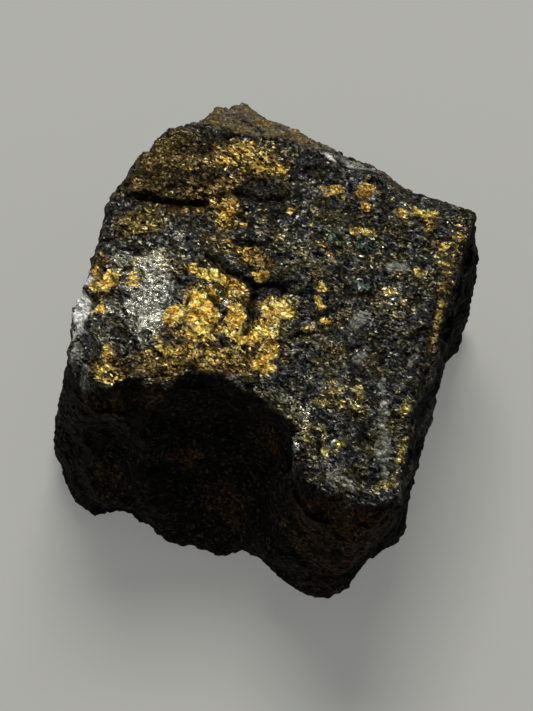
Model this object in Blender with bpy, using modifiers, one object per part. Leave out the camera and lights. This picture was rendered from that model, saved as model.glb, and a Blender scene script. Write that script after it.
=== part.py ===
"""Stannite specimen: one lump of massive sulphide ore, broken on every side and lying on its flattest break.

+Z is up, +X runs along the long front break and +Y points away from it. The origin is the middle of the
underside, on the surface that the stone lies on. Lengths in the constants are millimetres, angles are degrees.
"""

import math

import bmesh
import bpy
from mathutils import Matrix, Vector, noise
from mathutils.geometry import intersect_point_line

MM = 0.001

# The heart is the point that every break is measured from, 8.5 mm above the surface that the stone lies on.
HEART = Vector((0.8, 0.0, 8.5))

# Each flat break: the bearing of its outward normal from +X, the rise of that normal above level, and how far the
# break lies from the heart. A rise below zero is a break that leans out over its foot.
BREAKS = {
    "crown": (90, 90, 8.5),
    "shoulder": (140, 76, 10.6),
    "right_slope": (-12, 80, 10.2),
    "front": (-84, 0, 11.4),
    "front_foot": (-81, -6, 11.95),
    "front_left": (-114, 5, 13.1),
    "left_front": (199, 9, 12.5),
    "left": (174, 3, 13.2),
    "left_back": (154, 2, 14.2),
    "back_bevel": (91, 43, 12.9),
    "back": (91, -3, 12.3),
    "right": (14.5, 0.5, 10.45),
    "front_right": (-20, -10, 13.3),
    "heel": (-45, -38, 17.0),
    "underside": (0, -90, 8.5),
}

# Shell-shaped scars, where a flake came off: centre, radii and turn about Z of the ellipsoid that fits the scar.
SCARS = {
    "front_scoop": ((2.3, -13.8, 17.0), (6.1, 7.5, 16.2), -2),
    "front_left_flake": ((-5.8, -16.2, 9.6), (6.0, 5.8, 7.0), 6),
    "lip_flake": ((-3.0, -13.0, 17.5), (2.8, 4.0, 4.5), 0),
    "foot_flake": ((5.6, -12.6, 0.8), (4.0, 3.1, 4.4), 0),
    "foot_hollow": ((-3.2, -12.9, 1.4), (2.7, 2.3, 2.6), -8),
    "heel_hollow": ((9.8, -12.8, 3.6), (2.5, 3.3, 2.8), 0),
    "right_rim_flake": ((15.5, -1.9, 17.0), (4.0, 4.8, 3.4), 14.5),
    "right_flake": ((16.6, -1.6, 13.0), (5.4, 6.4, 6.0), 10),
    "right_low_flake": ((17.0, 6.4, 5.0), (6.4, 6.0, 6.0), 0),
    "left_flake": ((-17.6, 1.0, 6.0), (6.2, 7.0, 6.6), 0),
    "back_flake": ((1.0, 18.4, 5.0), (8.0, 6.8, 6.5), 0),
}

# Steps, where a flat splinter came off: centre, size and turn about Z of the box that fits the step.
STEPS = {
    "right_step": ((14.6, -2.2, 5.0), (6.0, 24.8, 17.0), 14.5),
}

# Creases in the crown: the points along the bottom of each one, its half width and its depth.
CREASES = {
    "valley": (((-11.2, 1.5), (-9.3, 2.0), (-6.2, 2.7), (-3.8, 2.9)), 1.3, 0.75),
    "ledge_foot": (((-1.0, -1.2), (0.6, 0.0), (1.9, 1.4)), 0.9, 0.6),
    "crack": (((-4.0, 0.2), (-2.3, 0.3), (-1.1, 0.1)), 0.6, 0.45),
    "left_furrow": (((-9.9, -1.9), (-6.6, -1.6)), 0.9, 0.35),
}

ROUGH_BLOCK = 80.0
GRID = 0.45
TRIANGLES = 9000


def direction(bearing, rise):
    """Unit vector at a bearing from +X and a rise above level."""
    a, e = math.radians(bearing), math.radians(rise)
    return Vector((math.cos(a) * math.cos(e), math.sin(a) * math.cos(e), math.sin(e)))


def new_object(name, mesh, collection):
    obj = bpy.data.objects.new(name, mesh)
    collection.objects.link(obj)
    return obj


def evaluated_mesh(obj):
    """The object's mesh with its modifiers applied."""
    graph = bpy.context.evaluated_depsgraph_get()
    graph.update()
    return bpy.data.meshes.new_from_object(obj.evaluated_get(graph), depsgraph=graph)


def split_block(collection):
    """A cube with every break cut off it in turn."""
    bm = bmesh.new()
    bmesh.ops.create_cube(bm, size=ROUGH_BLOCK * MM, matrix=Matrix.Translation(HEART * MM))
    for bearing, rise, reach in BREAKS.values():
        normal = direction(bearing, rise)
        cut = bmesh.ops.bisect_plane(
            bm,
            geom=bm.verts[:] + bm.edges[:] + bm.faces[:],
            plane_co=(HEART + normal * reach) * MM,
            plane_no=normal,
            clear_outer=True,
        )
        edges = [part for part in cut["geom_cut"] if isinstance(part, bmesh.types.BMEdge)]
        bmesh.ops.contextual_create(bm, geom=edges)
    bmesh.ops.recalc_face_normals(bm, faces=bm.faces[:])
    mesh = bpy.data.meshes.new("block")
    bm.to_mesh(mesh)
    bm.free()
    return new_object("block", mesh, collection)


def add_cutter(block, cutters, name, make_shape):
    """Takes a shape out of the block. make_shape puts the shape into an empty bmesh."""
    bm = bmesh.new()
    make_shape(bm)
    mesh = bpy.data.meshes.new(name)
    bm.to_mesh(mesh)
    bm.free()
    cutter = new_object(name, mesh, cutters)
    cutter.hide_render = True
    cutter.display_type = "WIRE"
    cut = block.modifiers.new(name, "BOOLEAN")
    cut.operation = "DIFFERENCE"
    cut.object = cutter


def placed(centre, size, turn):
    """Matrix that gives a shape one unit across its size, its turn about Z and its place."""
    return (
        Matrix.Translation(Vector(centre) * MM)
        @ Matrix.Rotation(math.radians(turn), 4, "Z")
        @ Matrix.Diagonal(Vector(size) * MM).to_4x4()
    )


def add_scars(block, cutters):
    for name, scar in SCARS.items():
        place = placed(*scar)
        add_cutter(
            block, cutters, name,
            lambda bm: bmesh.ops.create_icosphere(bm, subdivisions=4, radius=1.0, matrix=place),
        )


def add_steps(block, cutters):
    for name, step in STEPS.items():
        place = placed(*step)
        add_cutter(block, cutters, name, lambda bm: bmesh.ops.create_cube(bm, size=1.0, matrix=place))


def add_grid(block):
    """An even net of faces over the block, fine enough to carry the relief."""
    remesh = block.modifiers.new("grid", "REMESH")
    remesh.mode = "VOXEL"
    remesh.voxel_size = GRID * MM


def chip(point, size, seed):
    """Height, about -0.5 to 0.5, of small flat chips that each lean their own way."""
    spot = point / size + seed
    centre = noise.voronoi(spot)[1][0]
    lean = noise.cell_vector(centre * 9.7) * 2 - Vector((1, 1, 1))
    return (spot - centre).dot(lean)


def crease_depth(point):
    """How deep the creases of the crown are at a point, in millimetres."""
    spot = point.xy
    deepest = 0.0
    for line, half_width, depth in CREASES.values():
        for start, end in zip(line, line[1:]):
            along, share = intersect_point_line(spot, start, end)
            nearest = along if 0 < share < 1 else Vector(start if share <= 0 else end)
            beside = (spot - nearest.xy).length / half_width
            deepest = max(deepest, depth * max(0.0, 1 - beside))
    return deepest


def relief(point, normal):
    """How far the surface stands out at a point, in millimetres."""
    lumps = noise.fractal(point / 6.5, 0.9, 2.1, 3) * 0.45
    coarse = chip(point, 4.2, Vector((3.1, 1.7, 5.3))) * 0.7
    fine = chip(point, 2.0, Vector((8.4, 2.6, 0.9))) * 0.45
    side = 1 - max(0.0, normal.z)
    creases = crease_depth(point) if normal.z > 0.5 else 0.0
    return lumps + (coarse + fine) * (0.35 + 0.65 * side) - creases


def roughen(mesh):
    """Moves each point of the net along its normal by the relief."""
    bm = bmesh.new()
    bm.from_mesh(mesh)
    bm.normal_update()
    moves = [v.normal * (relief(v.co / MM, v.normal) * MM) for v in bm.verts]
    for vert, move in zip(bm.verts, moves):
        vert.co += move
    bm.to_mesh(mesh)
    bm.free()


def flatten_underside(mesh):
    """Cuts the high spots of the underside level with the surface that the stone lies on."""
    bm = bmesh.new()
    bm.from_mesh(mesh)
    cut = bmesh.ops.bisect_plane(
        bm,
        geom=bm.verts[:] + bm.edges[:] + bm.faces[:],
        plane_co=(0, 0, 0),
        plane_no=(0, 0, -1),
        clear_outer=True,
    )
    edges = [part for part in cut["geom_cut"] if isinstance(part, bmesh.types.BMEdge)]
    bmesh.ops.holes_fill(bm, edges=edges)
    bmesh.ops.triangulate(bm, faces=bm.faces[:])
    bmesh.ops.recalc_face_normals(bm, faces=bm.faces[:])
    bm.to_mesh(mesh)
    bm.free()


def drop_crumbs(mesh):
    """Keeps the largest piece of the mesh. The net closes off a few crumbs beside the thinnest edges."""
    bm = bmesh.new()
    bm.from_mesh(mesh)
    left = set(bm.verts)
    pieces = []
    while left:
        start = left.pop()
        piece, border = [start], [start]
        while border:
            for edge in border.pop().link_edges:
                for vert in edge.verts:
                    if vert in left:
                        left.remove(vert)
                        piece.append(vert)
                        border.append(vert)
        pieces.append(piece)
    pieces.sort(key=len)
    bmesh.ops.delete(bm, geom=[vert for piece in pieces[:-1] for vert in piece], context="VERTS")
    bm.to_mesh(mesh)
    bm.free()


def set_on_origin(mesh):
    """Slides the mesh level until the middle of its box is over the origin."""
    xs = [v.co.x for v in mesh.vertices]
    ys = [v.co.y for v in mesh.vertices]
    middle = Vector(((min(xs) + max(xs)) / 2, (min(ys) + max(ys)) / 2, 0))
    mesh.transform(Matrix.Translation(-middle))


def ore_material():
    material = bpy.data.materials.new("sulphide_ore")
    material.use_nodes = True
    surface = material.node_tree.nodes["Principled BSDF"]
    surface.inputs["Base Color"].default_value = (0.09, 0.075, 0.04, 1)
    surface.inputs["Metallic"].default_value = 0.6
    surface.inputs["Roughness"].default_value = 0.45
    return material


def make_stone():
    for obj in list(bpy.data.objects):
        bpy.data.objects.remove(obj)
    specimen = bpy.data.collections.new("stannite_specimen")
    cutters = bpy.data.collections.new("cutters")
    for collection in (specimen, cutters):
        bpy.context.scene.collection.children.link(collection)

    block = split_block(cutters)
    block.hide_render = True
    add_scars(block, cutters)
    add_steps(block, cutters)
    add_grid(block)
    mesh = evaluated_mesh(block)
    roughen(mesh)

    rough = new_object("rough", mesh, cutters)
    rough.hide_render = True
    add_grid(rough)
    fewer = rough.modifiers.new("fewer_faces", "DECIMATE")
    fewer.ratio = TRIANGLES / (2 * len(evaluated_mesh(rough).polygons))
    mesh = evaluated_mesh(rough)
    drop_crumbs(mesh)
    flatten_underside(mesh)
    drop_crumbs(mesh)
    set_on_origin(mesh)
    mesh.materials.clear()
    mesh.materials.append(ore_material())
    stone = new_object("stone", mesh, specimen)
    return stone


make_stone()
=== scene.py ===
"""Stannite specimen: the broken surface in full detail, its minerals, the light and the camera.

The stone lies on its flattest break, with the metallic crown up (+Z) and the dark scooped break in front
(-Y). Lengths in the named constants are millimetres and bearings are degrees from +X, in the part's frame.
"""

import math

import bmesh
import bpy
import numpy as np
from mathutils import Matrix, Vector, noise
from mathutils.kdtree import KDTree


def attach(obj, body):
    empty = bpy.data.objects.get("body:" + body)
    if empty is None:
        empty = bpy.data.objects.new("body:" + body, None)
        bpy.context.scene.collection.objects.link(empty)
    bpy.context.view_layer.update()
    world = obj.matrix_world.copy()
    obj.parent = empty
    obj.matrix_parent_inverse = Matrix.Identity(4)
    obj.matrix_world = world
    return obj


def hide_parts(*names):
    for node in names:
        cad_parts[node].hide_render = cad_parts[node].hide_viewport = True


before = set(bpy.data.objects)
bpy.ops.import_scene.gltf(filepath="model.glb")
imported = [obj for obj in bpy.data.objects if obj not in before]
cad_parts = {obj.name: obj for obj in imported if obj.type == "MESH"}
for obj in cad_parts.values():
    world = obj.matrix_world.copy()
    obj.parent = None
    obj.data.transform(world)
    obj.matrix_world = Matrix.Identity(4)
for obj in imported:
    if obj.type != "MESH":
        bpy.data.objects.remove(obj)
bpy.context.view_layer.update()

MM = 0.001

# The seed of the noise vectors, so that every run gives the same stone.
SEED = 2

# The net of the fine surface: its mesh size all over, before the crown's is halved.
NET = 0.23

# The crown lies above this height and fades in over a reach above it. Its finer net takes in the faces whose
# normal rises at least this much.
CROWN_LEVEL = 12.5
CROWN_FADE = 1.5
CROWN_RISE = 0.45

# The quartz also runs over the rim, down to about this height, where it fades out.
QUARTZ_LEVEL = 15.0
QUARTZ_FADE = 0.8

# The crown's rim, which the net rounds off: the rise and height of the flat inside it, how far the rounding
# reaches, how low it starts, and how wide a margin along the rim line is still carried out.
FLAT_RISE = 0.93
FLAT_LEVEL = 15.0
RIM_WIDTH = 1.0
RIM_LEVEL = 14.5
RIM_MARGIN = 0.6

# The crown's scales are drawn out along this bearing.
FLOW_BEARING = 6

# How far the warp makes edges wander: of the lines, the rim, crisp patches, torn ones and round ones.
LINE_WARP = 0.15
RIM_WARP = 0.25
RAGGED = 0.4
TORN = 0.7
ROUND_WARP = 1.5

# Relief of the crown: height of the wrinkles and the ripples, size and height of the scales and the grains.
WRINKLES = 0.26
RIPPLES = 0.12
SCALES = (0.62, 0.15)
GRAINS = (0.30, 0.08)

# Relief of the sides: size and height of the chips, and the heights of the dust and the layers. The right
# break has more of the layers.
CHIPS = (1.5, 0.16)
SMALL_CHIPS = (0.7, 0.10)
DUST = 0.10
LAYERS = 0.03
RIGHT_LAYERS = 0.15

# Sizes of the grains that the colours follow: coarse and fine ones, those with dark borders, and the crumbs
# of the sides. The bumps are the finest relief, which the material adds.
COARSE_GRAIN = 0.27
FINE_GRAIN = 0.11
BORDER_GRAIN = 0.17
CRUMB = 0.17
BUMP = 0.10

# Patches of the crown: middle (x, y), half length, half width, bearing of the length, how much of it shows.
# Brass-yellow sulphide.
BRASS = {
    "main": (-2.6, -4.1, 1.75, 1.05, 117, 1.0),
    "main_top": (-3.0, -2.9, 0.7, 0.6, 117, 0.9),
    "main_left_lobe": (-3.8, -5.0, 0.85, 0.6, 60, 0.95),
    "above_main": (-3.1, -1.45, 0.95, 0.42, 8, 1.0),
    "above_main_left": (-4.4, -1.35, 0.7, 0.3, 20, 0.75),
    "above_main_right": (-1.7, -1.5, 0.9, 0.6, 0, 0.55),
    "second_top": (1.25, -1.45, 1.35, 0.8, 12, 0.74),
    "second_middle": (1.3, -3.1, 1.3, 0.9, 60, 0.64),
    "second_left": (-0.6, -3.2, 0.75, 1.0, 30, 0.75),
    "second_left_low": (0.2, -4.3, 1.1, 0.45, 10, 0.8),
    "second_low": (2.3, -4.2, 0.75, 0.6, 110, 0.78),
    "second_foot": (2.45, -5.2, 0.7, 0.42, 20, 1.0),
    "under_main": (-1.0, -6.3, 1.2, 0.6, 0, 0.40),
    "under_second": (1.0, -6.1, 1.5, 0.6, -5, 0.34),
    "rim_specks": (-2.9, -6.9, 1.3, 0.45, 0, 0.42),
    "rim_lip": (-3.0, -8.2, 1.4, 0.7, 10, 0.22),
    "left_spot": (-8.4, -4.5, 0.5, 0.36, 110, 1.0),
    "left_spot_low": (-8.6, -5.3, 0.6, 0.3, 60, 0.75),
    "left_edge_column": (-9.3, -5.0, 0.9, 0.3, 110, 0.6),
    "left_inner": (-7.3, -4.0, 0.7, 0.45, 110, 0.55),
    "left_notch": (-7.9, -6.6, 0.35, 0.25, 110, 0.8),
    "left_foot": (-6.0, -9.3, 0.9, 0.45, 115, 0.45),
    "left_edge": (-5.3, -10.3, 1.0, 0.5, 0, 0.4),
    "back_left": (-5.5, 7.4, 2.1, 1.1, 12, 0.33),
    "back_left_2": (-4.7, 7.1, 0.8, 0.5, 40, 0.5),
    "back_left_orange": (-6.3, 6.1, 0.6, 0.4, 20, 0.5),
    "back_left_tip": (-3.4, 7.3, 0.4, 0.25, 120, 0.8),
    "upper_column": (-4.9, 3.2, 0.9, 0.6, 100, 0.55),
    "between_low": (-1.3, -4.7, 0.7, 0.5, 60, 0.6),
    "second_low_left": (0.9, -5.3, 0.9, 0.5, 0, 0.42),
    "upper_spot": (-3.9, 2.6, 0.25, 0.2, 0, 0.9),
    "upper_spot_2": (-3.3, 2.7, 0.25, 0.25, 0, 0.9),
    "upper_mid": (-2.2, 1.1, 1.5, 0.5, 0, 0.35),
    "upper_mid_spot": (-0.7, 0.2, 0.45, 0.25, 20, 0.9),
    "speck_a": (0.1, 7.5, 0.8, 0.4, 20, 0.65),
    "speck_b": (2.1, 8.6, 0.8, 0.5, 15, 0.7),
    "speck_c": (2.55, 7.4, 0.4, 0.25, 0, 0.85),
    "speck_d": (-1.3, 5.2, 0.4, 0.3, 110, 0.7),
    "speck_e": (5.8, 9.7, 1.0, 0.45, 5, 0.8),
    "speck_f": (5.1, 8.7, 0.8, 0.4, 20, 0.5),
    "speck_g": (6.6, 8.7, 0.8, 0.4, 110, 0.4),
    "speck_h": (3.1, 5.9, 0.9, 0.35, 10, 0.5),
    "speck_i": (7.6, 5.0, 0.4, 0.3, 0, 0.7),
    "speck_j": (2.4, 3.3, 0.4, 0.3, 0, 0.5),
    "speck_k": (2.9, 1.1, 0.33, 0.28, 0, 0.85),
    "speck_l": (3.5, 0.2, 0.4, 0.28, 110, 0.8),
    "speck_m": (4.1, -0.9, 0.3, 0.25, 0, 0.9),
    "speck_n": (3.6, -1.7, 0.3, 0.2, 0, 0.6),
    "speck_o": (6.7, 3.0, 0.7, 0.35, 40, 0.35),
    "speck_p": (7.8, 1.6, 0.6, 0.3, 20, 0.35),
    "scatter_middle": (0.4, 3.6, 2.2, 1.8, 110, 0.14),
    "right_edge": (10.2, 2.6, 1.6, 0.3, 106, 0.5),
    "right_edge_top": (9.4, 5.2, 1.4, 0.4, 106, 0.25),
    "right_corner": (8.5, 8.2, 1.1, 0.6, 100, 0.25),
    "right_upper": (8.4, 6.9, 1.2, 0.6, 110, 0.25),
}

# Greener brass, in small sparse grains.
OLIVE = {
    "left_top": (-9.2, -0.4, 1.7, 0.6, 25, 0.5),
    "low_a": (6.9, -4.5, 0.8, 0.35, 0, 0.55),
    "low_b": (8.2, -4.0, 0.45, 0.3, 100, 0.85),
    "low_c": (8.6, -5.0, 0.8, 0.3, 10, 0.65),
    "low_d": (6.6, -5.7, 0.6, 0.35, 30, 0.6),
    "low_e": (7.6, -5.4, 0.6, 0.2, 10, 0.65),
    "low_wide": (7.4, -4.9, 2.2, 1.2, 10, 0.25),
    "low_orange": (8.9, -7.5, 0.45, 0.35, 100, 0.95),
    "streak_a": (7.1, -7.8, 0.8, 0.16, 119, 0.85),
    "streak_b": (8.3, -8.3, 0.75, 0.16, 119, 0.85),
    "streak_c": (6.3, -7.2, 0.9, 0.12, 119, 0.85),
    "streak_d": (7.7, -7.3, 0.5, 0.2, 119, 0.6),
    "edge_streak": (11.1, -3.5, 0.8, 0.22, 112, 0.8),
    "edge_column": (12.25, -6.2, 1.3, 0.28, 110, 0.75),
    "edge_foot": (12.5, -8.1, 0.6, 0.3, 40, 0.9),
    "corner_low": (11.3, -9.4, 0.6, 0.25, 0, 0.45),
    "ledge_foot": (3.4, -1.6, 2.0, 1.2, 30, 0.12),
    "middle": (1.0, 4.4, 3.0, 2.2, 100, 0.2),
    "upper_left": (-8.6, 4.0, 3.2, 3.0, 40, 0.16),
    "silver_top": (-6.8, -2.4, 1.6, 0.7, 30, 0.35),
    "left_grey": (-8.6, 0.6, 1.6, 1.0, 0, 0.3),
}

# Brown tarnish over the steel-grey ore.
TARNISH = {
    "upper_left": (-8.2, 4.6, 4.4, 3.6, 30, 0.95),
    "left_top": (-9.2, -0.3, 1.9, 1.2, 30, 1.0),
    "back_left": (-5.4, 7.0, 3.2, 1.4, 10, 0.9),
    "upper_column": (-4.5, 3.0, 1.6, 1.1, 100, 0.75),
    "middle": (-3.9, 0.8, 1.7, 0.8, 10, 0.85),
    "middle_right": (-1.6, 1.0, 1.8, 0.8, 0, 1.0),
    "above_main": (-3.2, -1.2, 2.4, 0.9, 5, 0.8),
    "around_main": (-1.4, -2.1, 1.4, 1.1, 0, 1.0),
    "between": (-0.6, -3.6, 1.2, 1.3, 0, 1.0),
    "under_main": (-1.4, -6.3, 3.4, 1.3, 0, 1.0),
    "under_second": (1.1, -6.0, 1.7, 0.9, -5, 0.9),
    "second": (1.5, -3.6, 1.7, 2.6, 0, 0.9),
    "rim_lip": (-3.0, -8.2, 1.9, 1.1, 10, 1.0),
    "left_low": (-8.6, -5.2, 1.4, 0.8, 110, 0.8),
    "left_margin": (-9.6, -4.2, 1.6, 0.5, 110, 0.8),
    "right_edge": (10.1, 3.0, 3.4, 0.7, 105, 0.7),
    "right_corner": (8.7, 8.0, 1.8, 1.1, 100, 0.6),
    "left_edge": (-5.5, -10.0, 1.6, 1.1, 0, 0.8),
    "low_middle": (7.6, -4.9, 1.8, 1.0, 0, 0.45),
    "right_tan": (10.1, -0.6, 0.9, 0.6, 20, 0.5),
}

# Fresh bright stannite.
SILVER = {
    "main": (-5.9, -4.3, 3.4, 1.6, 114, 0.8),
    "bright": (-5.2, -5.7, 1.2, 0.9, 114, 1.0),
    "left": (-8.3, -3.2, 1.5, 1.0, 110, 0.58),
    "lower_left": (-7.2, -6.2, 1.0, 0.7, 0, 0.55),
    "low": (-4.4, -6.8, 1.4, 0.6, 20, 0.6),
    "top": (-6.3, -0.7, 2.2, 1.1, 20, 0.50),
    "valley_right": (-4.6, 1.2, 1.8, 1.0, 10, 0.40),
    "valley_end": (-3.2, 1.9, 1.0, 0.7, 0, 0.28),
    "ledge_top": (0.2, 1.9, 1.0, 0.7, 0, 0.34),
    "left_low": (-7.0, -7.9, 1.3, 0.8, 110, 0.48),
    "left_foot": (-5.5, -8.5, 1.1, 0.6, 20, 0.42),
    "beside_second": (2.9, -2.8, 0.8, 1.0, 110, 0.36),
    "below_second": (3.8, -3.8, 1.3, 0.8, 10, 0.30),
    "front_rim": (1.6, -6.7, 1.2, 0.5, 0, 0.38),
    "sliver_a": (-1.75, -3.6, 0.5, 0.26, 20, 1.0),
    "sliver_b": (-1.75, -2.75, 0.4, 0.26, 60, 0.9),
    "middle": (0.4, 2.6, 2.4, 1.4, 110, 0.15),
    "right": (6.4, 0.8, 2.6, 1.6, 40, 0.22),
    "right_top": (6.3, 4.8, 1.0, 0.6, 20, 0.3),
    "low_right": (5.0, -6.6, 1.3, 0.45, -12, 0.5),
    "front_right": (10.0, -9.3, 1.5, 0.5, -5, 0.45),
    "front_right_top": (8.6, -2.3, 1.2, 0.5, 20, 0.2),
    "fibre_a": (6.0, -6.8, 0.9, 0.1, 119, 1.0),
    "fibre_b": (6.5, -7.3, 0.9, 0.1, 119, 0.9),
    "fibre_c": (6.75, -8.6, 0.7, 0.1, 119, 0.8),
}

# Smooth dull stones of blue-grey, among the metal.
SLATE = {
    "upper_a": (-8.0, 5.5, 0.5, 0.38, 20, 0.9),
    "upper_b": (-8.2, 2.7, 0.35, 0.35, 20, 0.8),
    "upper_c": (-6.2, 5.4, 0.65, 0.45, 10, 0.8),
    "upper_d": (-4.3, 5.3, 1.5, 0.7, -5, 0.5),
    "middle_a": (-2.8, 2.5, 0.45, 0.35, 0, 0.85),
    "middle_b": (-5.4, 0.35, 0.35, 0.28, 0, 0.85),
    "dark_stone": (-5.3, -0.5, 0.9, 0.4, -5, 0.85),
    "left": (-7.3, -9.3, 0.9, 0.75, 110, 0.75),
    "left_back": (-9.5, -2.4, 0.8, 0.6, 20, 0.6),
    "bevel": (-6.6, 9.6, 1.1, 0.5, 0, 0.9),
    "under_lobe": (-3.1, -6.2, 0.8, 0.32, 30, 0.85),
    "under_lobe_right": (-2.3, -6.1, 0.4, 0.2, 0, 0.7),
    "spot_a": (-0.7, -4.8, 0.33, 0.25, 10, 0.9),
    "spot_b": (0.6, -5.5, 0.42, 0.36, 0, 0.9),
    "spot_c": (-1.6, -6.0, 0.3, 0.24, 0, 0.85),
    "spot_d": (0.8, -1.5, 0.28, 0.24, 0, 0.85),
    "tail": (1.0, -6.3, 0.7, 0.2, 115, 0.6),
    "right": (9.9, -6.7, 1.4, 0.6, 100, 0.55),
    "right_arch": (8.2, -5.8, 0.8, 0.35, -10, 0.7),
    "right_pale": (6.3, 4.8, 1.0, 0.45, 15, 0.7),
    "right_pale_2": (5.2, 4.6, 0.6, 0.35, 40, 0.5),
    "right_grey": (7.0, -1.9, 0.9, 0.5, 20, 0.5),
    "middle_grey": (4.6, -3.4, 1.6, 0.7, -20, 0.35),
    "left_valley": (-6.3, 1.0, 0.6, 0.3, 0, 0.6),
    "bevel_right": (0.8, 10.6, 2.9, 0.9, 6, 0.85),
}

# Milky quartz.
QUARTZ = {
    "left_top": (-9.9, -5.2, 0.55, 0.36, 110, 1.0),
    "left_main": (-9.0, -7.3, 1.1, 0.6, 108, 1.0),
    "left_tail": (-8.6, -8.6, 0.8, 0.4, 108, 0.6),
    "back_streak": (-1.0, 9.6, 0.5, 0.16, -20, 1.0),
}

# Cloudy quartz, with the ore showing through.
CLOUDY = {
    "left_low": (-7.7, -10.0, 0.7, 0.4, 112, 0.9),
    "left_foot": (-6.7, -11.0, 0.6, 0.35, 112, 0.8),
    "band_top": (9.4, -3.1, 0.7, 0.28, 115, 0.55),
    "band_mid": (10.2, -4.5, 1.1, 0.3, 113, 0.7),
    "band_low": (11.3, -6.5, 1.2, 0.38, 113, 0.9),
    "band_foot": (12.0, -7.8, 0.5, 0.3, 113, 0.5),
    "right_pale": (6.2, 4.7, 0.8, 0.4, 15, 0.7),
    "right_mid": (7.2, -1.9, 0.7, 0.4, 60, 0.6),
    "right_tan": (6.1, 0.3, 0.9, 0.45, 65, 0.62),
    "right_low": (10.1, -0.5, 0.7, 0.35, 100, 0.5),
    "front_rim": (10.3, -9.6, 1.1, 0.3, -5, 0.5),
    "bevel_right": (0.3, 10.2, 1.9, 0.4, 3, 0.6),
}

# Traces of green.
TEAL = {
    "glint": (5.1, 2.5, 0.7, 0.3, 20, 0.6),
    "upper": (2.18, 5.1, 0.9, 0.6, 10, 0.45),
    "upper_right": (3.78, 5.0, 0.6, 0.4, 0, 0.4),
    "second": (1.7, -2.7, 0.4, 0.3, 0, 0.4),
}

# Near-black patches: painted shade in hollows, under the ledges and the bevel, along the valley and over the
# right margin and upper left, with dark seams of the ore.
DARK_AND_SHADED = {
    "valley_left": (-10.0, 1.6, 1.2, 0.4, 15, 0.8),
    "valley_middle": (-8.4, 2.1, 1.1, 0.35, 17, 0.9),
    "valley_right": (-6.9, 2.8, 1.0, 0.3, 28, 0.85),
    "under_bevel_left": (-8.0, 8.2, 2.0, 0.22, 8, 0.9),
    "upper_stone": (-3.3, 5.4, 1.7, 0.8, -5, 0.6),
    "upper_band": (-0.8, 8.6, 3.0, 0.6, -6, 0.5),
    "upper_band_2": (1.2, 6.6, 2.2, 0.4, -10, 0.6),
    "crack_shadow": (-2.4, -0.25, 1.5, 0.22, -5, 0.8),
    "ledge_right": (1.0, 0.3, 1.8, 0.22, 2, 0.8),
    "ledge_far": (2.9, 0.5, 0.8, 0.3, 20, 0.8),
    "upper_ledge": (-2.0, 1.9, 1.3, 0.25, 20, 0.75),
    "spot_a": (-0.9, -4.7, 0.3, 0.25, 0, 0.6),
    "ring": (-4.3, -1.1, 0.22, 0.2, 0, 1.0),
    "right_a": (4.3, 0.3, 0.9, 0.2, -5, 0.8),
    "right_b": (8.0, -2.8, 1.5, 0.32, 3, 0.75),
    "right_c": (9.1, 1.1, 0.8, 0.6, 0, 0.5),
    "right_d": (8.8, -1.5, 1.0, 0.3, 20, 0.5),
    "low_line": (9.4, -6.2, 1.3, 0.2, -8, 0.7),
    "left_line": (-6.5, -7.4, 1.6, 0.28, -5, 0.7),
    "left_dark": (-7.5, -8.0, 0.7, 0.4, 0, 0.5),
    "right_margin": (10.4, 1.5, 6.0, 0.9, 105, 0.6),
    "upper_left_a": (-9.6, 3.4, 1.8, 0.9, 10, 0.8),
    "upper_left_b": (-7.6, 4.2, 1.6, 0.5, 30, 0.75),
    "upper_left_c": (-8.8, 6.6, 1.5, 0.6, 40, 0.7),
    "upper_left_d": (-7.6, 7.3, 1.2, 0.3, 20, 0.75),
    "upper_middle": (-1.4, 6.6, 1.5, 0.6, 20, 0.4),
}

# Ledges and cracks in the crown, each along its points.
LEDGES = {
    "middle": ((-4.2, -0.2), (-3.3, -0.5), (-2.6, -0.7), (-1.9, -0.4), (-1.1, -0.5), (-0.7, -0.6)),
    "right": ((-0.7, -0.6), (-0.2, -0.2), (0.3, 0.1), (1.0, 0.1), (1.8, 0.1), (2.5, 0.1)),
    "upper": ((-3.2, 1.5), (-2.3, 1.7), (-1.7, 2.0), (-1.3, 2.5)),
    "far": ((3.6, -0.9), (3.8, -0.4), (4.3, 0.0)),
    "valley": ((-11.2, 1.3), (-9.6, 1.7), (-8.6, 2.0), (-7.4, 2.5), (-6.3, 3.1)),
    "upper_stone": ((-5.0, 4.6), (-4.2, 4.9), (-3.2, 5.0), (-2.2, 5.4)),
    "vein": ((-0.5, -1.1), (-0.3, -1.9), (0.1, -2.6), (0.3, -3.3), (0.4, -3.8)),
    "main_right": ((-2.6, -2.7), (-2.0, -2.9), (-1.4, -3.1)),
}
CRACKS = {
    "main_left": ((-3.7, -3.3), (-3.6, -3.9), (-3.3, -4.5), (-3.1, -5.1), (-2.8, -5.5)),
    "main_right": ((-3.2, -2.4), (-2.6, -2.7), (-1.4, -3.1), (-1.3, -3.6), (-1.4, -4.1), (-1.4, -4.8)),
    "main_foot": ((-2.9, -5.1), (-2.5, -5.2), (-1.7, -5.5), (-1.4, -5.6), (-1.2, -6.1), (-1.2, -6.7)),
    "lobe": ((-4.0, -5.4), (-3.7, -5.3), (-3.2, -5.4)),
    "second_right": ((2.5, -0.8), (2.6, -1.3), (2.3, -2.0)),
    "second_low": ((1.7, -3.6), (1.6, -4.3), (1.6, -4.9)),
    "upper_curl": ((-4.8, 0.3), (-4.5, 0.3), (-4.2, 0.6), (-3.6, 0.5)),
    "silver": ((-7.0, -5.3), (-6.8, -4.8), (-6.6, -4.4)),
    "lower_left": ((-6.9, -7.4), (-6.2, -7.4), (-5.2, -7.6), (-4.4, -8.1), (-3.7, -8.5)),
    "left_notch": ((-9.3, -6.5), (-8.5, -6.3)),
}

# Half width and depth of a ledge's foot and of a crack.
LEDGE_SIZE = (0.26, 0.55)
CRACK_SIZE = (0.13, 0.22)

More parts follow.
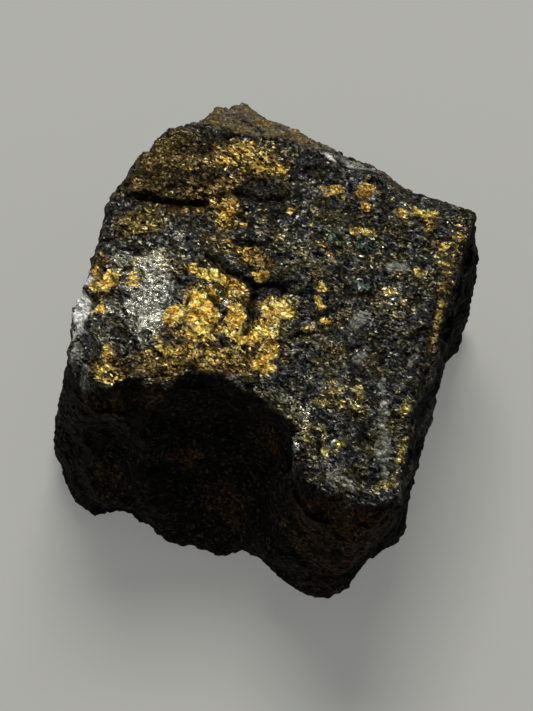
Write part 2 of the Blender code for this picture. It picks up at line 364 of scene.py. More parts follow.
# The rim of the crown, where the dark breaks begin. It starts and ends far out at the left and at the back.
RIM = (
    (-16.0, -11.5), (-8.8, -11.4), (-7.6, -11.4), (-6.0, -11.4), (-4.7, -10.9), (-4.2, -9.9),
    (-3.6, -9.6), (-3.2, -9.9), (-2.5, -9.3), (-1.8, -9.1), (-1.6, -8.2), (-1.2, -7.6),
    (-0.5, -7.2), (0.7, -7.0), (1.4, -7.3), (2.1, -7.3), (2.6, -6.9), (3.3, -7.0),
    (4.0, -7.2), (5.2, -7.6), (5.9, -7.7), (6.1, -7.7), (6.4, -8.5), (6.8, -9.6),
    (7.4, -10.0), (8.1, -10.4), (8.9, -10.6), (9.8, -10.7), (10.8, -10.6), (11.8, -10.1),
    (12.4, -9.8), (12.9, -9.3), (13.4, -8.7), (13.7, -8.8), (13.1, -7.5), (12.6, -6.1),
    (12.0, -4.7), (11.5, -3.2), (11.9, -2.2), (11.6, -1.1), (11.5, 0.0), (11.0, 1.2),
    (10.6, 2.1), (10.3, 3.4), (10.0, 4.8), (9.4, 6.9), (9.2, 7.8), (9.0, 8.9),
    (8.7, 10.4), (9.0, 16.0), (-16.0, 16.0),
)

# How far the crown's flat is broken down outside the rim line, and over what reach.
DROP = 1.4
DROP_REACH = 1.2

# The front edge of the bevel at the back, from left to right, where the bevel runs out at the right and
# below, and how wide each of these edges is.
BEVEL_EDGE = ((-12.0, 8.3), (-8.6, 8.6), (-6.2, 8.6), (-4.6, 9.4), (-3.2, 10.0), (3.8, 11.0))
BEVEL_END = 3.8
BEVEL_FOOT = 11.5
BEVEL_EDGE_FADE = 0.3
BEVEL_END_FADE = 1.5
BEVEL_FOOT_FADE = 0.8

# Patches of the other faces: middle (x, y, z), radius, and how much of it shows.
RUST = {
    "mustard_ledge": ((2.0, -9.3, 5.0), 2.0, 0.75),
    "scoop_middle": ((-0.6, -9.4, 8.6), 1.6, 0.6),
    "scoop_right": ((4.0, -7.3, 12.0), 1.8, 0.7),
    "front_right_top": ((10.8, -10.6, 14.6), 2.6, 0.9),
    "front_right_mid": ((8.6, -10.9, 11.0), 3.0, 0.7),
    "front_right_low": ((10.6, -10.6, 8.6), 4.0, 0.6),
    "right_corner": ((12.6, -9.0, 12.5), 2.6, 0.8),
    "tip": ((9.8, -10.6, 2.4), 2.2, 0.5),
    "left_lip": ((-2.8, -10.2, 15.6), 1.8, 0.65),
    "left_top": ((-5.2, -11.6, 15.0), 2.2, 0.5),
    "left_face": ((-5.8, -11.4, 5.5), 2.6, 0.4),
}

# Pale scraped places of the right break.
PALE = {
    "rim_strip": ((13.2, -6.6, 15.0), 1.7, 0.8),
    "rim_strip_back": ((12.3, -4.2, 15.2), 1.7, 0.8),
    "ridge": ((10.9, 0.8, 7.2), 2.4, 0.9),
    "ridge_low": ((11.3, -1.4, 3.6), 1.8, 0.5),
    "upper": ((9.6, 6.8, 13.0), 2.0, 0.4),
}

# Places where the skin stands out from the coarse solid or lies behind it: middle, radius and move.
SWELLS = {
    "right_hollow": ((11.6, 1.0, 3.6), 2.8, (-0.58, -0.20, 0.0)),
    "right_foot": ((11.7, -8.4, 1.2), 2.4, (0.42, -0.32, 0.0)),
    "right_wall_front": ((12.2, -5.6, 5.4), 2.4, (0.20, -0.10, 0.0)),
    "left_foot": ((-9.0, -11.4, 0.8), 2.2, (0.12, 0.15, 0.0)),
    "left_low_corner": ((-10.1, -10.7, 2.4), 1.5, (-0.45, -0.05, 0.0)),
    "left_wall": ((-10.2, -9.6, 7.0), 2.8, (0.30, 0.12, 0.0)),
    "left_rim": ((-9.2, -8.8, 15.5), 2.4, (0.30, 0.10, 0.0)),
    "front_tip": ((9.4, -10.2, 0.9), 1.8, (0.10, -0.35, 0.0)),
    "back_left_corner": ((-9.6, 9.8, 14.8), 2.0, (0.32, -0.16, -0.06)),
    "left_back": ((-10.7, 6.6, 15.8), 2.0, (-0.40, 0.08, 0.10)),
    "left_top": ((-11.6, 3.0, 16.3), 1.4, (0.32, 0.0, -0.05)),
    "left_middle": ((-11.0, -1.0, 16.6), 1.9, (0.32, 0.05, -0.05)),
    "left_corner": ((-10.6, -3.2, 16.2), 1.4, (-0.28, -0.05, 0.0)),
    "back_edge": ((-5.4, 11.9, 14.4), 1.6, (0.0, -0.35, -0.14)),
    "back_apex": ((-8.7, 11.5, 14.4), 1.0, (0.0, 0.27, 0.12)),
    "beside_apex": ((-7.1, 12.2, 14.0), 1.5, (0.0, -0.37, -0.15)),
    "back_middle": ((-3.1, 11.8, 14.4), 1.2, (0.0, -0.22, -0.09)),
    "back_right_edge": ((2.8, 12.0, 13.9), 3.6, (0.0, -0.34, -0.14)),
    "back_right": ((5.6, 10.6, 15.8), 3.8, (0.0, -0.60, -0.25)),
}

# Lights: azimuth and elevation as seen from the stone, distance and side in metres, watts and colour.
LIGHTS = {
    "softbox": (209, 62, 0.50, 0.20, 2.5, (1.0, 0.98, 0.93)),
    "overhead": (230, 82, 0.60, 0.80, 1.0, (0.97, 0.98, 1.0)),
}
ROOM_COLOUR = (0.94, 0.97, 1.0, 1)
ROOM_STRENGTH = 0.10

# The camera: azimuth and elevation as seen from the stone, distance, the point it looks at, and its lens.
CAMERA_AZIMUTH = 29
CAMERA_ELEVATION = 62
CAMERA_DISTANCE = 200
CAMERA_TARGET = (-0.05, -0.34, 8.0)
LENS = 160
SENSOR = 36

# The floor reaches this far from the stone to each side, in metres, a hair below its underside.
FLOOR_REACH = 2.5
FLOOR_LEVEL = -0.02


def coordinates(mesh):
    """The points of a mesh, in millimetres."""
    values = np.empty(len(mesh.vertices) * 3, dtype=np.float64)
    mesh.vertices.foreach_get("co", values)
    return values.reshape(-1, 3) / MM


def vertex_normals(mesh):
    values = np.empty(len(mesh.vertices) * 3, dtype=np.float32)
    mesh.vertices.foreach_get("normal", values)
    return values.reshape(-1, 3).astype(np.float64)


def set_coordinates(mesh, points):
    mesh.vertices.foreach_set("co", (points * MM).astype(np.float32).ravel())
    mesh.update()


def rise(values, start, reach):
    """0 up to the start, then evenly up to 1 over the reach."""
    return np.clip((values - start) / reach, 0, 1)


def fine_net(node):
    """A copy of the node's mesh with an even fine net, halved again over the crown."""
    obj = bpy.data.objects.new("fine_net", node.data.copy())
    bpy.context.scene.collection.objects.link(obj)
    remesh = obj.modifiers.new("net", "REMESH")
    remesh.mode = "VOXEL"
    remesh.voxel_size = NET * MM
    graph = bpy.context.evaluated_depsgraph_get()
    graph.update()
    mesh = bpy.data.meshes.new_from_object(obj.evaluated_get(graph), depsgraph=graph)
    bpy.data.objects.remove(obj)

    bm = bmesh.new()
    bm.from_mesh(mesh)
    bm.normal_update()
    crown = [
        face for face in bm.faces
        if face.normal.z > CROWN_RISE and face.calc_center_median().z > CROWN_LEVEL * MM
    ]
    edges = list({edge for face in crown for edge in face.edges})
    bmesh.ops.subdivide_edges(bm, edges=edges, cuts=1, use_grid_fill=True)
    bmesh.ops.triangulate(bm, faces=bm.faces[:])
    bm.to_mesh(mesh)
    bm.free()
    return mesh


def chip(point, size, seed):
    """Height, about -0.5 to 0.5, of small flat chips that each lean their own way."""
    spot = point / size + seed
    centre = noise.voronoi(spot)[1][0]
    lean = noise.cell_vector(centre * 9.7) * 2 - Vector((1, 1, 1))
    return (spot - centre).dot(lean)


def folds(point):
    """Height, about -0.5 to 1, that is lowest along wandering lines."""
    return abs(noise.noise(point)) * 2 - 0.5


def along_flow(p):
    """The point in the crown's grain: squeezed along the flow, so that noise there comes out drawn out."""
    a = math.radians(FLOW_BEARING)
    stir = noise.noise_vector(p * 0.8) * 0.55 + noise.noise_vector(p * 2.1) * 0.2
    q = p + stir
    along = q.x * math.cos(a) + q.y * math.sin(a)
    across = q.y * math.cos(a) - q.x * math.sin(a)
    return Vector((0.42 * along, across, q.z))


def crown_relief(p):
    """Wrinkled scales along the flow with fine grains on them, in millimetres."""
    q = along_flow(p)
    wrinkles = folds(q * 1.15)
    ripples = folds(q * 2.6 + Vector((4.2, 7.7, 1.1)))
    scales = chip(q, SCALES[0], Vector((1.3, 4.4, 2.2)))
    grains = chip(q, GRAINS[0], Vector((6.1, 0.4, 3.7)))
    return -WRINKLES * wrinkles - RIPPLES * ripples + SCALES[1] * scales + GRAINS[1] * grains


def side_relief(p):
    """Broken chips with a granular skin, and level layers in the right break, in millimetres."""
    chips = chip(p, CHIPS[0], Vector((2.7, 8.1, 0.3)))
    small = chip(p, SMALL_CHIPS[0], Vector((0.9, 5.2, 7.7)))
    dust = noise.noise(p * 3.1)
    layers = noise.noise(Vector((p.x * 0.5, p.y * 0.35, p.z * 1.9)))
    right = min(1, max(0, (p.x - 9.5) / 1.5))
    return CHIPS[1] * chips + SMALL_CHIPS[1] * small + DUST * dust + (LAYERS + RIGHT_LAYERS * right) * layers


def surface_relief(vectors, crown):
    """The relief at each point, mixed from the crown's and the sides'."""
    return np.array([c * crown_relief(p) + (1 - c) * side_relief(p) for p, c in zip(vectors, crown)])


def swell(points):
    """Moves the points near each swell by its move, fading out to its radius."""
    start = points.copy()
    for middle, radius, move in SWELLS.values():
        share = np.clip(1 - (np.linalg.norm(start - middle, axis=1) / radius) ** 2, 0, 1)
        points += (share ** 2)[:, None] * move


def sharpen_rim(points, normals, warp):
    """Carries the flat of the crown out to its broken rim, which the net has rounded off."""
    flat = np.flatnonzero((normals[:, 2] > FLAT_RISE) & (points[:, 2] > FLAT_LEVEL))
    tree = KDTree(len(flat))
    for i in flat:
        tree.insert((points[i, 0], points[i, 1], 0), i)
    tree.balance()
    front_or_right = (points[:, 1] < -4) | (points[:, 0] > 7.5)
    inside = inside_rim(points[:, :2] + RIM_WARP * warp[:, :2], RIM_MARGIN) > 0
    rounded = (normals[:, 2] > 0.3) & (normals[:, 2] < FLAT_RISE) & (points[:, 2] > RIM_LEVEL)
    for i in np.flatnonzero(front_or_right & inside & rounded):
        nearest, reach = tree.find((points[i, 0], points[i, 1], 0))[1:]
        if reach < RIM_WIDTH:
            share = min(1, (normals[i, 2] - 0.3) / 0.25)
            points[i, 2] += share * (points[nearest, 2] - points[i, 2])


def drop_outside_rim(points, normals, warp):
    """Breaks off what the flat of the crown has outside the rim line, so that the rim is crisp."""
    outside = 1 - inside_rim(points[:, :2] + RIM_WARP * warp[:, :2], DROP_REACH)
    upward = rise(normals[:, 2], 0.1, 0.4) * rise(points[:, 2], CROWN_LEVEL, CROWN_FADE)
    points[:, 2] -= DROP * upward * np.clip(outside * 2 - 1, 0, 1)


def line_depth(points, line, half_width):
    """1 on a broken line, falling to 0 at its half width."""
    nearest = np.full(len(points), 1e9)
    for start, end in zip(line, line[1:]):
        start, end = np.array(start), np.array(end)
        run = end - start
        share = np.clip((points - start) @ run / (run @ run), 0, 1)
        nearest = np.minimum(nearest, np.linalg.norm(points - start - share[:, None] * run, axis=1))
    return np.clip(1 - nearest / half_width, 0, 1)


def inside_rim(points, softness=0.15):
    """1 inside the rim of the crown and 0 outside it, changing over at its line."""
    inside = np.zeros(len(points), dtype=bool)
    reach = np.full(len(points), 1e9)
    for (x0, y0), (x1, y1) in zip(RIM, RIM[1:] + RIM[:1]):
        between = (points[:, 1] < y0) != (points[:, 1] < y1)
        if y0 != y1:
            cross = x0 + (points[:, 1] - y0) * (x1 - x0) / (y1 - y0)
            inside ^= between & (points[:, 0] < cross)
        run = np.array((x1 - x0, y1 - y0))
        share = np.clip((points - (x0, y0)) @ run / (run @ run), 0, 1)
        reach = np.minimum(reach, np.linalg.norm(points - (x0, y0) - share[:, None] * run, axis=1))
    return np.clip(np.where(inside, reach, -reach) / softness + 0.5, 0, 1)


def patch_cover(points, patches, fade=0.7):
    """The strongest flat patch at each point: full well inside a patch and nothing well outside."""
    cover = np.zeros(len(points))
    for x, y, length, width, bearing, strength in patches.values():
        a = math.radians(bearing)
        along = (points - (x, y)) @ (math.cos(a), math.sin(a)) / length
        across = (points - (x, y)) @ (-math.sin(a), math.cos(a)) / width
        reach = np.hypot(along, across)
        cover = np.maximum(cover, strength * np.clip((1 + fade / 2 - reach) / fade, 0, 1))
    return cover


def ball_cover(points, patches):
    """The same for round patches of the other faces."""
    cover = np.zeros(len(points))
    for middle, radius, strength in patches.values():
        reach = np.linalg.norm(points - middle, axis=1) / radius
        cover = np.maximum(cover, strength * np.clip((1.3 - reach) / 0.8, 0, 1))
    return cover


def set_attribute(mesh, name, values):
    layer = mesh.attributes.new(name, "FLOAT", "POINT")
    layer.data.foreach_set("value", np.clip(values, 0, 1).astype(np.float32))


def find_top(points, normals, warp):
    """How much of each point belongs to the top of the stone, and how much to the bevel on it."""
    upward = rise(normals[:, 2], 0.2, 0.2)
    top = upward * rise(points[:, 2], CROWN_LEVEL, CROWN_FADE)
    top *= inside_rim(points[:, :2] + RIM_WARP * warp[:, :2])
    ragged = points[:, :2] + RAGGED * warp[:, :2]
    edge = np.interp(ragged[:, 0], *zip(*BEVEL_EDGE))
    behind = np.clip((ragged[:, 1] - edge) / BEVEL_EDGE_FADE + 0.5, 0, 1)
    left_of_end = np.clip((BEVEL_END - ragged[:, 0]) / BEVEL_END_FADE, 0, 1)
    bevel = behind * left_of_end * (upward * rise(points[:, 2], BEVEL_FOOT, BEVEL_FOOT_FADE))
    return top, bevel


def cut_lines(relief, points, crown):
    """Cuts the ledges and cracks into the crown's relief, and returns the painted shade along them at each
    point.
    """
    shade = np.zeros(len(points))
    for group, (half_width, depth) in ((LEDGES, LEDGE_SIZE), (CRACKS, CRACK_SIZE)):
        for line in group.values():
            near = line_depth(points, line, half_width)
            relief -= crown * depth * near
            # Painted shade along the line, strongest at its middle.
            shade = np.maximum(shade, np.clip(near * 1.5, 0, 1))
    return shade


def set_smooth(mesh, crown):
    """Smooth faces on the crown and flat ones on the broken sides."""
    corners = np.empty(len(mesh.polygons) * 3, dtype=np.int32)
    mesh.polygons.foreach_get("vertices", corners)
    mesh.polygons.foreach_set("use_smooth", crown[corners.reshape(-1, 3)].mean(axis=1) > 0.5)


def make_stone():
    """The CAD stone with its fine relief, and the share of each mineral and of the painted shade at each
    point for the material.
    """
    mesh = fine_net(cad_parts["stone"])
    points = coordinates(mesh)
    normals = vertex_normals(mesh)

    noise.seed_set(SEED)
    vectors = [Vector(p) for p in points]
    warp = np.array([
        noise.noise_vector(p * 0.9) * 0.5 + noise.noise_vector(p * 2.6) * 0.22 for p in vectors
    ])
    clumps = np.array([noise.fractal(p * 0.55, 0.8, 2.0, 4) for p in vectors])
    ragged = points[:, :2] + RAGGED * warp[:, :2]
    torn = points[:, :2] + TORN * warp[:, :2]
    top, bevel = find_top(points, normals, warp)
    crown = top * (1 - bevel)

    swell(points)
    sharpen_rim(points, normals, warp)
    drop_outside_rim(points, normals, warp)
    relief = surface_relief(vectors, np.maximum(crown, bevel))
    shade = cut_lines(relief, points[:, :2] + LINE_WARP * warp[:, :2], crown)
    moved = points + normals * relief[:, None]
    moved[:, 2] = np.maximum(moved[:, 2], 0)
    set_coordinates(mesh, moved)

    high = rise(points[:, 2], QUARTZ_LEVEL, QUARTZ_FADE)
    side = 1 - crown
    round_places = points + ROUND_WARP * warp
    for name, share in {
        "crown": crown,
        "bevel": bevel,
        "brass": crown * (1.1 * patch_cover(torn, BRASS) + 0.08 + 0.12 * clumps),
        "olive": crown * patch_cover(torn, OLIVE),
        "tarnish": crown * patch_cover(torn, TARNISH),
        "silver": crown * patch_cover(torn, SILVER),
        "slate": top * patch_cover(ragged, SLATE, 0.4),
        "quartz": high * patch_cover(ragged, QUARTZ),
        "cloudy": high * patch_cover(ragged, CLOUDY, 0.6),
        "teal": crown * patch_cover(torn, TEAL),
        # The dark share: painted shade of the ledges and cracks and of the near-black patches.
        "dark": crown * np.maximum(shade, patch_cover(ragged, DARK_AND_SHADED, 0.4)),
        "rust": side * (ball_cover(round_places, RUST) + 0.15 + 0.3 * clumps),
        "pale": side * ball_cover(round_places, PALE),
        "wall": rise(normals[:, 0], 0.7, 0.15),
    }.items():
        set_attribute(mesh, name, share)
    set_smooth(mesh, crown)

    mesh.materials.clear()
    mesh.materials.append(ore_material())
    stone = bpy.data.objects.new("ore_stone", mesh)
    bpy.context.scene.collection.objects.link(stone)
    return stone


class Graph:
    """Short names for the material nodes that the ore uses."""

    def __init__(self, name):
        self.material = bpy.data.materials.new(name)
        self.material.use_nodes = True
        self.nodes = self.material.node_tree.nodes
        self.links = self.material.node_tree.links
        self.surface = self.nodes["Principled BSDF"]

    def add(self, kind, inputs=None, **settings):
        node = self.nodes.new(kind)
        for key, value in settings.items():
            setattr(node, key, value)
        for key, value in (inputs or {}).items():
            self.set(node.inputs[key], value)
        return node

    def set(self, socket, value):
        if isinstance(value, bpy.types.NodeSocket):
            self.links.new(value, socket)
        else:
            socket.default_value = value

    def math(self, operation, a, b=0.0, clamp=False):
        node = self.add("ShaderNodeMath", operation=operation, use_clamp=clamp)
        self.set(node.inputs[0], a)
        self.set(node.inputs[1], b)
        return node.outputs[0]

    def vector(self, operation, a, b=(0, 0, 0)):
        node = self.add("ShaderNodeVectorMath", operation=operation)
        self.set(node.inputs[0], a)
        if operation == "SCALE":
            self.set(node.inputs["Scale"], b)
        elif operation != "NORMALIZE":
            self.set(node.inputs[1], b)
        return node.outputs[0]

    def mix(self, share, a, b):
        """Colour a where share is 0 and colour b where it is 1."""
        node = self.add("ShaderNodeMix", data_type="RGBA")
        self.set(node.inputs[0], share)
        self.set(node.inputs[6], a)
        self.set(node.inputs[7], b)
        return node.outputs[2]

    def blend(self, share, a, b):
        """The same for numbers."""
        node = self.add("ShaderNodeMix", data_type="FLOAT")
        self.set(node.inputs[0], share)
        self.set(node.inputs[2], a)
        self.set(node.inputs[3], b)
        return node.outputs[0]

    def attribute(self, name):
        return self.add("ShaderNodeAttribute", attribute_name=name).outputs["Fac"]

    def noise(self, place, scale, detail=3.0, rough=0.6, output="Fac"):
        inputs = {"Vector": place, "Scale": scale, "Detail": detail, "Roughness": rough}
        return self.add("ShaderNodeTexNoise", inputs).outputs[output]

    def cells(self, place, size, feature="F1"):
        """Irregular grains of a size in millimetres."""
        return self.add("ShaderNodeTexVoronoi", {"Vector": place, "Scale": 1 / size}, feature=feature).outputs

    def channels(self, colour):
        return self.add("ShaderNodeSeparateColor", {"Color": colour}).outputs

    def ramp(self, share, stops):
        """Colour that runs through the stops, each a position and a colour."""
        node = self.add("ShaderNodeValToRGB", {"Fac": share})
        elements = node.color_ramp.elements
        elements[0].position, elements[1].position = stops[0][0], stops[-1][0]
        for stop in stops[1:-1]:
            elements.new(stop[0])
        for element, (place, tone) in zip(elements, stops):
            element.color = (*tone, 1)
        return node.outputs["Color"]

    def over(self, cover, chance, softness=0.12):
        """1 in the grains whose chance is under the cover, and 0 in those well over it."""
        return self.math("DIVIDE", self.math("SUBTRACT", cover, chance), softness, clamp=True)


class OreGraph(Graph):
    """The ore's material, with the fields that its colours and its gloss share."""

    def __init__(self):
        super().__init__("ore")
        self.place = self.vector("SCALE", self.add("ShaderNodeTexCoord").outputs["Object"], 1 / MM)
        self.crown = self.attribute("crown")
        self.set_grains()
        self.set_textures()
        self.set_minerals()

    def set_grains(self):
        """Coarse and fine grains along the crown's flow, with three random numbers each, and loose crumbs."""
        stir = self.noise(self.place, 1.6, 3.0, output="Color")
        stir = self.vector("SUBTRACT", stir, (0.5, 0.5, 0.5))
        stirred = self.vector("ADD", self.place, self.vector("SCALE", stir, 0.6))
        turn = {"Vector": stirred, "Rotation": (0, 0, -math.radians(FLOW_BEARING))}
        self.flow = self.vector("MULTIPLY", self.add("ShaderNodeMapping", turn).outputs[0], (0.5, 1.0, 1.0))
        self.chance = self.channels(self.cells(self.flow, COARSE_GRAIN)["Color"])
        self.fine = self.cells(self.flow, FINE_GRAIN)["Color"]
        self.luck = self.channels(self.fine)
        self.crumbs = self.channels(self.cells(stirred, CRUMB)["Color"])

    def set_textures(self):
        """Waves, thin seams and dark grain borders on the crown, and blotches and rubble on the sides."""
        self.wave = self.noise(self.flow, 7.5, 3.0, 0.65)
        seam = self.math("ABSOLUTE", self.math("SUBTRACT", self.noise(self.flow, 3.6, 3.0, 0.6), 0.5))
        self.seam = self.math("MULTIPLY", seam, 7.0, clamp=True)
        border = self.cells(self.flow, BORDER_GRAIN, "DISTANCE_TO_EDGE")["Distance"]
        self.border = self.blend(self.math("MULTIPLY", border, 7.0, clamp=True), 0.45, 1.15)
        self.blotches = self.noise(self.place, 1.6, 6.0, 0.75)
        self.rubble = self.noise(self.place, 4.5, 4.0, 0.7)

    def set_minerals(self):
        """How much of each mineral shows, grain by grain."""
        chance, luck = self.chance, self.luck
        milky = self.math("MULTIPLY", self.blend(0.5, luck[1], chance[1]), 0.7)
        misty = self.math("MULTIPLY", self.blend(0.5, chance[1], self.wave), 0.6)
        blotchy = self.math("MULTIPLY", self.blotches, 1.2)
        self.brass = self.mineral("brass", self.blend(0.7, chance[0], luck[0]), 0.2)
        self.olive = self.mineral("olive", self.blend(0.7, chance[1], luck[0]))
        self.tarnish = self.mineral("tarnish", self.blend(0.5, chance[1], luck[1]), 0.3)
        self.silver = self.mineral("silver", self.blend(0.6, chance[2], luck[2]), 0.35)
        self.slate = self.mineral("slate", self.blend(0.4, luck[1], chance[0]), 0.5)
        self.quartz = self.mineral("quartz", milky, 0.4)
        self.teal = self.mineral("teal", luck[2], 0.2)
        # The dark share: painted shade in hollows, ledges and cracks, with dark ore seams, grain by grain.
        self.dark = self.math("MULTIPLY", self.attribute("dark"), self.blend(0.3, 1.0, chance[2]), clamp=True)
        self.rust = self.mineral("rust", self.blend(0.35, blotchy, self.crumbs[2]), 0.3)
        self.pale = self.mineral("pale", blotchy, 0.3)
        cloudy = self.mineral("cloudy", misty, 0.3)
        self.cloudy = self.math("MULTIPLY", cloudy, self.blend(self.seam, 0.5, 0.9))
        self.bright = self.math("MAXIMUM", self.brass, self.silver)

    def mineral(self, name, chance, softness=0.12):
        return self.over(self.attribute(name), chance, softness)


def metal_colours(g):
    """Steel-grey ore, tarnished brown or bright, and yellow, olive and green grains on it, with painted shade
    mixed in near black.
    """
    luck = g.luck
    steel = g.ramp(luck[0], (
        (0.0, (0.006, 0.006, 0.006)), (0.35, (0.022, 0.022, 0.020)), (0.60, (0.062, 0.063, 0.058)),
        (0.80, (0.125, 0.122, 0.096)), (0.93, (0.25, 0.24, 0.18)), (1.0, (0.58, 0.56, 0.43)),
    ))
    tarnished = g.ramp(luck[1], (
        (0.0, (0.008, 0.006, 0.003)), (0.3, (0.050, 0.033, 0.012)), (0.6, (0.15, 0.095, 0.030)),
        (0.85, (0.36, 0.25, 0.080)), (1.0, (0.85, 0.65, 0.25)),
    ))
    bright_steel = g.ramp(luck[0], (
        (0.0, (0.10, 0.10, 0.083)), (0.3, (0.36, 0.36, 0.295)), (0.7, (0.78, 0.78, 0.65)),
        (1.0, (1.0, 1.0, 0.88)),
    ))
    yellow = g.ramp(luck[2], (
        (0.0, (0.27, 0.14, 0.018)), (0.2, (0.48, 0.29, 0.042)), (0.55, (0.74, 0.50, 0.105)),
        (0.85, (0.92, 0.69, 0.20)), (1.0, (1.0, 0.86, 0.46)),
    ))
    warmth = g.ramp(g.noise(g.place, 1.1, 4.0, 0.65), (
        (0.35, (0.72, 0.56, 0.34)), (0.45, (0.96, 0.92, 0.78)), (0.54, (0.98, 1.06, 1.05)),
        (0.66, (0.92, 1.12, 1.25)),
    ))
    green_gold = g.ramp(luck[1], (
        (0.0, (0.07, 0.055, 0.012)), (0.4, (0.30, 0.24, 0.055)), (1.0, (0.95, 0.82, 0.32)),
    ))
    sea = g.mix(luck[0], (0.01, 0.06, 0.05, 1), (0.24, 0.40, 0.31, 1))
    lightness = g.noise(g.place, 1.4, 4.0, 0.7)
    lightness = g.math("MAXIMUM", g.blend(lightness, -1.6, 3.6), 0.12)

    colour = g.mix(g.tarnish, g.vector("MULTIPLY", steel, zone_tint(g)), tarnished)
    colour = g.vector("SCALE", colour, lightness)
    colour = g.mix(g.silver, colour, bright_steel)
    colour = g.mix(g.olive, colour, green_gold)
    colour = g.mix(g.brass, colour, g.vector("MULTIPLY", yellow, warmth))
    colour = g.mix(g.teal, colour, sea)
    # Mixes near black into the colour as painted shade where the dark share is.
    return g.mix(g.dark, colour, (0.008, 0.008, 0.006, 1))


def zone_tint(g):
    """A tint that drifts from blue-grey to brown over a few millimetres."""
    return g.ramp(g.noise(g.place, 0.8, 3.0, 0.6), (
        (0.32, (0.88, 0.92, 1.15)), (0.46, (0.97, 0.99, 1.07)), (0.56, (1.25, 1.15, 0.80)),
        (0.68, (1.35, 1.02, 0.62)),
    ))


def side_colours(g):
    """Black broken ore, pushed near black as painted shade, with rust, scraped places and a few painted
    glints, and the weathered bevel.
    """
    # Colours kept near black, partly the ore's own black and partly painted shade on the breaks that face
    # away from the light.
    broken = g.ramp(g.blend(0.6, g.crumbs[0], g.rubble), (
        (0.25, (0.0005, 0.0005, 0.0004)), (0.5, (0.0038, 0.0031, 0.0023)), (0.64, (0.015, 0.0125, 0.009)),
        (0.85, (0.10, 0.087, 0.066)),
    ))
    layers = g.noise(g.vector("MULTIPLY", g.place, (0.5, 0.35, 2.4)), 1.0, 3.0)
    streaks = g.over(g.blend(0.5, layers, g.blotches), 0.52)
    streaked = g.mix(streaks, (0.003, 0.003, 0.0025, 1), (0.030, 0.031, 0.025, 1))
    rusty = g.ramp(g.blend(0.4, g.crumbs[1], g.rubble), (
        (0.2, (0.0015, 0.0009, 0.0005)), (0.5, (0.022, 0.011, 0.004)), (0.7, (0.070, 0.036, 0.010)),
        (0.9, (0.19, 0.115, 0.036)),
    ))
    scraped = g.ramp(g.luck[1], (
        (0.0, (0.006, 0.006, 0.005)), (0.5, (0.035, 0.034, 0.026)), (1.0, (0.16, 0.155, 0.12)),
    ))
    # Painted glints: a few lighter specks in the base colour where grains would catch the light.
    glint = g.over(g.noise(g.place, 0.7, 3.0), 0.52, 0.1)
    glint = g.math("MULTIPLY", glint, g.math("GREATER_THAN", g.luck[2], 0.955))
    weathered = g.ramp(g.blend(0.7, g.luck[2], g.wave), (
        (0.15, (0.016, 0.016, 0.013)), (0.4, (0.075, 0.070, 0.050)), (0.62, (0.19, 0.155, 0.090)),
        (0.85, (0.60, 0.40, 0.15)),
    ))
    weathered = g.vector("MULTIPLY", weathered, zone_tint(g))

    colour = g.mix(g.attribute("wall"), broken, streaked)
    colour = g.mix(g.rust, colour, rusty)
    colour = g.mix(g.pale, colour, scraped)
    colour = g.mix(glint, colour, (0.045, 0.042, 0.032, 1))
    return g.mix(g.attribute("bevel"), colour, g.vector("SCALE", weathered, g.blend(g.seam, 0.4, 1.3)))


def ore_colour(g):
    """The metal on the crown and the broken ore on the sides, with dull stones and quartz among them. The
    crown's colours carry painted shade in the seams and low places of the bumps, painted light on their
    crests, and dark grain borders.
    """
    # Painted shade in the bumps' seams and low places and painted light on their crests, times the dark grain
    # borders.
    groove_shade = g.blend(g.seam, g.blend(g.bright, 0.14, 0.50), 1.25)
    relief_shade_and_joints = g.math("MULTIPLY", g.math("MULTIPLY", groove_shade, g.math("MULTIPLY", g.wave, 2.1)), g.border)
    colour = g.mix(g.crown, side_colours(g), g.vector("SCALE", metal_colours(g), relief_shade_and_joints))
    dull = g.ramp(g.luck[1], (
        (0.0, (0.006, 0.007, 0.008)), (0.5, (0.035, 0.038, 0.042)), (1.0, (0.16, 0.165, 0.17)),
    ))
    colour = g.mix(g.slate, colour, g.vector("SCALE", dull, relief_shade_and_joints))
    haze = g.ramp(g.blend(0.5, g.luck[1], g.wave), (
        (0.2, (0.030, 0.032, 0.025)), (0.45, (0.13, 0.135, 0.11)), (0.65, (0.30, 0.305, 0.26)),
        (0.85, (0.70, 0.70, 0.63)),
    ))
    colour = g.mix(g.cloudy, colour, haze)
    milky = g.ramp(g.blend(0.6, g.luck[1], g.wave), (
        (0.2, (0.10, 0.10, 0.09)), (0.45, (0.34, 0.34, 0.31)), (0.62, (0.78, 0.78, 0.74)),
        (0.8, (1.0, 1.0, 0.97)),
    ))
    return g.mix(g.quartz, colour, milky)


def ore_normal(g, metallic_share):
    """Fine bumps all over, and facets of the metal's grains that each lean their own way."""
    scaly = g.math("ADD", g.wave, g.math("MULTIPLY", g.seam, 0.2))
    height = g.blend(g.crown, g.math("MULTIPLY", g.rubble, 1.8), scaly)
    bump = g.add("ShaderNodeBump", {"Strength": 1.0, "Distance": BUMP * MM, "Height": height})
    lean = g.vector("SUBTRACT", g.fine, (0.5, 0.5, 0.5))
    lean = g.vector("SCALE", lean, g.math("MULTIPLY", metallic_share, g.blend(g.brass, 0.40, 0.26)))
    return g.vector("NORMALIZE", g.vector("ADD", bump.outputs["Normal"], lean))


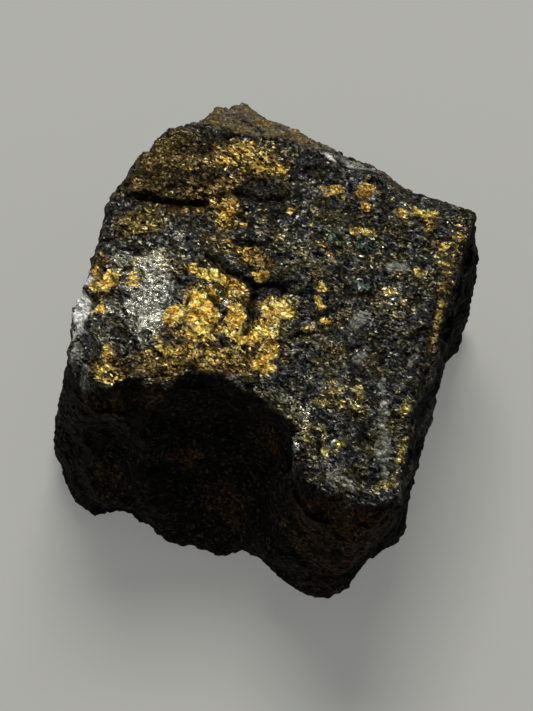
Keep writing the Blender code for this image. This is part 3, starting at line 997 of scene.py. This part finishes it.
def ore_material():
    g = OreGraph()
    stony = g.math("MAXIMUM", g.math("MAXIMUM", g.quartz, g.slate), g.cloudy)
    metallic_share = g.math("MULTIPLY", g.crown, g.math("SUBTRACT", 1.0, stony))
    metal = g.math("MULTIPLY", metallic_share, g.blend(g.bright, g.blend(g.luck[1], 0.55, 1.0), 0.97))
    silver_shine = g.blend(g.luck[1], 0.18, 0.32)
    shine = g.blend(g.brass, g.blend(g.silver, 0.30, silver_shine), 0.36)
    for name, value in {
        "Base Color": ore_colour(g),
        "Metallic": g.math("MULTIPLY", metal, g.blend(g.dark, 1.0, 0.5)),
        "Roughness": g.blend(metallic_share, 0.65, shine),
        "Normal": ore_normal(g, metallic_share),
    }.items():
        g.set(g.surface.inputs[name], value)
    g.surface.inputs["Specular IOR Level"].default_value = 0.04
    return g.material


def paper_material():
    """Pale paper with a weak glow of its own, painted light that lifts the shadow on it so that the shadow
    stays soft.
    """
    g = Graph("floor_paper")
    grain = g.noise(g.add("ShaderNodeTexCoord").outputs["Object"], 9.0)
    g.set(g.surface.inputs["Base Color"], g.mix(grain, (0.205, 0.205, 0.194, 1), (0.215, 0.215, 0.204, 1)))
    for name, value in {
        "Emission Color": (1.0, 1.0, 0.95, 1),
        "Emission Strength": 0.18,
        "Roughness": 0.9,
        "Specular IOR Level": 0.2,
    }.items():
        g.surface.inputs[name].default_value = value
    return g.material


def make_floor():
    mesh = bpy.data.meshes.new("floor")
    bm = bmesh.new()
    bmesh.ops.create_grid(bm, x_segments=8, y_segments=8, size=FLOOR_REACH)
    bm.to_mesh(mesh)
    bm.free()
    floor = bpy.data.objects.new("floor", mesh)
    floor.location.z = FLOOR_LEVEL * MM
    bpy.context.scene.collection.objects.link(floor)
    mesh.materials.append(paper_material())


def aim(obj, place, target):
    """Puts an object at a place, in metres, and turns its -Z axis to a target."""
    obj.location = place
    obj.rotation_euler = (Vector(target) - Vector(place)).to_track_quat("-Z", "Y").to_euler()


def direction(azimuth, elevation):
    """From the stone towards a camera or light. Azimuth 0 is in front, and 90 is on the right."""
    a, e = math.radians(azimuth), math.radians(elevation)
    return Vector((math.sin(a) * math.cos(e), -math.cos(a) * math.cos(e), math.sin(e)))


def add_light(name, azimuth, elevation, distance, side, power, colour):
    light = bpy.data.lights.new(name, "AREA")
    light.shape = "SQUARE"
    light.size = side
    light.energy = power
    light.color = colour
    lamp = bpy.data.objects.new(name, light)
    bpy.context.scene.collection.objects.link(lamp)
    aim(lamp, direction(azimuth, elevation) * distance, (0, 0, 0))


def make_lights():
    for name, settings in LIGHTS.items():
        add_light(name, *settings)
    world = bpy.data.worlds.new("studio")
    world.use_nodes = True
    room = world.node_tree.nodes["Background"].inputs
    room["Color"].default_value = ROOM_COLOUR
    room["Strength"].default_value = ROOM_STRENGTH
    bpy.context.scene.world = world


def make_camera():
    lens = bpy.data.cameras.new("camera")
    lens.lens = LENS
    lens.sensor_width = SENSOR
    lens.clip_start = 0.01
    camera = bpy.data.objects.new("camera", lens)
    bpy.context.scene.collection.objects.link(camera)
    target = Vector(CAMERA_TARGET) * MM
    aim(camera, target + direction(CAMERA_AZIMUTH, CAMERA_ELEVATION) * (CAMERA_DISTANCE * MM), target)
    bpy.context.scene.camera = camera
    bpy.context.scene.view_settings.view_transform = "Standard"


stone = make_stone()
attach(stone, "root")
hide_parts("stone")
make_floor()
make_lights()
make_camera()
